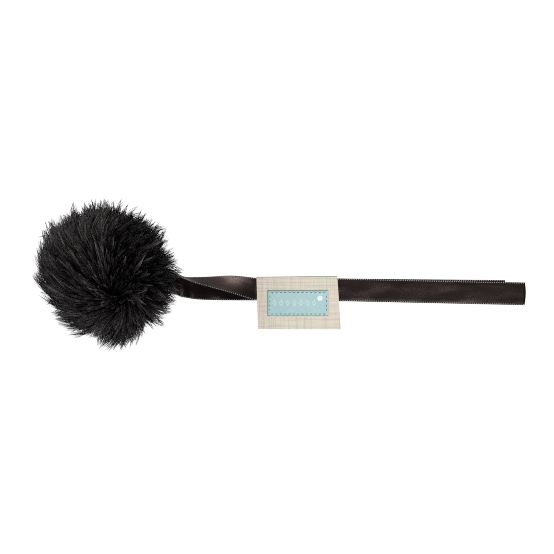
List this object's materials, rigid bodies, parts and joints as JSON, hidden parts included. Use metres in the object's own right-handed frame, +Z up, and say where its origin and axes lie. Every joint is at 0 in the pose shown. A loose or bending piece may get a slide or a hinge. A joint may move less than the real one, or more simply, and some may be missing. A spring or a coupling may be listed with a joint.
{
  "type": "pompom ribbon tag",
  "caption": "Faux-fur pompom sewn to the fold of a satin ribbon, with a folded card tag on the ribbon's two tails.",
  "frame": {"origin": "middle of the flattened spot that the pompom rests on, straight under its centre", "axes": "+X along the ribbon from the pompom to the tails' ends, +Z up from the table, +Y towards the card's folded edge"},
  "size_m": [0.2118, 0.058, 0.0545],
  "materials": {
    "fur": "long faux-fur pile, near black",
    "backing": "knitted backing cloth",
    "filling": "polyester fibre",
    "thread": "twisted sewing thread",
    "ribbon": "woven satin with picot selvedges",
    "card": "linen-textured card",
    "label": "embossed, pale teal",
    "label_thread": "running stitch",
    "label_dot": "white print"
  },
  "bodies": {
    "pompom": {"stuffing": "filling", "fur_backing": "backing", "fur_pile": "fur"},
    "neck": {"neck_stub": "backing", "neck_wrap_1": "thread", "neck_wrap_2": "thread", "neck_wrap_3": "thread", "neck_knot": "thread", "sewing_bail": "thread"},
    "ribbon": {"ribbon_fold": "ribbon", "tack_stitch_1": "thread", "tack_stitch_2": "thread", "tack_stitch_3": "thread", "under_lead": "ribbon", "over_lead": "ribbon", "under_tail": "ribbon", "over_tail": "ribbon"},
    "card": {"card_back": "card", "card_fold": "card"},
    "card_front": {"card_front": "card", "label_patch": "label", "stitch_thread": "label_thread", "label_dot": "label_dot"}
  },
  "joints": [
    {"name": "neck_nod", "type": "hinge", "parent": "pompom", "child": "neck", "pos_m": [0.01279, 0.00078, 0.01661], "axis": [0, -1, 0], "range_deg": [-10, 35]},
    {"name": "ribbon_swing", "type": "hinge", "parent": "neck", "child": "ribbon", "pos_m": [0.0186, 0.001, 0.0138], "axis": [0, 0, 1], "range_deg": [-25, 25]},
    {"name": "card_slide", "type": "slide", "parent": "ribbon", "child": "card", "axis": [1, -0.0094, 0], "range_m": [0, 0.07]},
    {"name": "card_open", "type": "hinge", "parent": "card", "child": "card_front", "pos_m": [0.0644, -0.0022, 0.00195], "axis": [-0.9999, -0.0113, 0], "range_deg": [0, 170]}
  ]
}
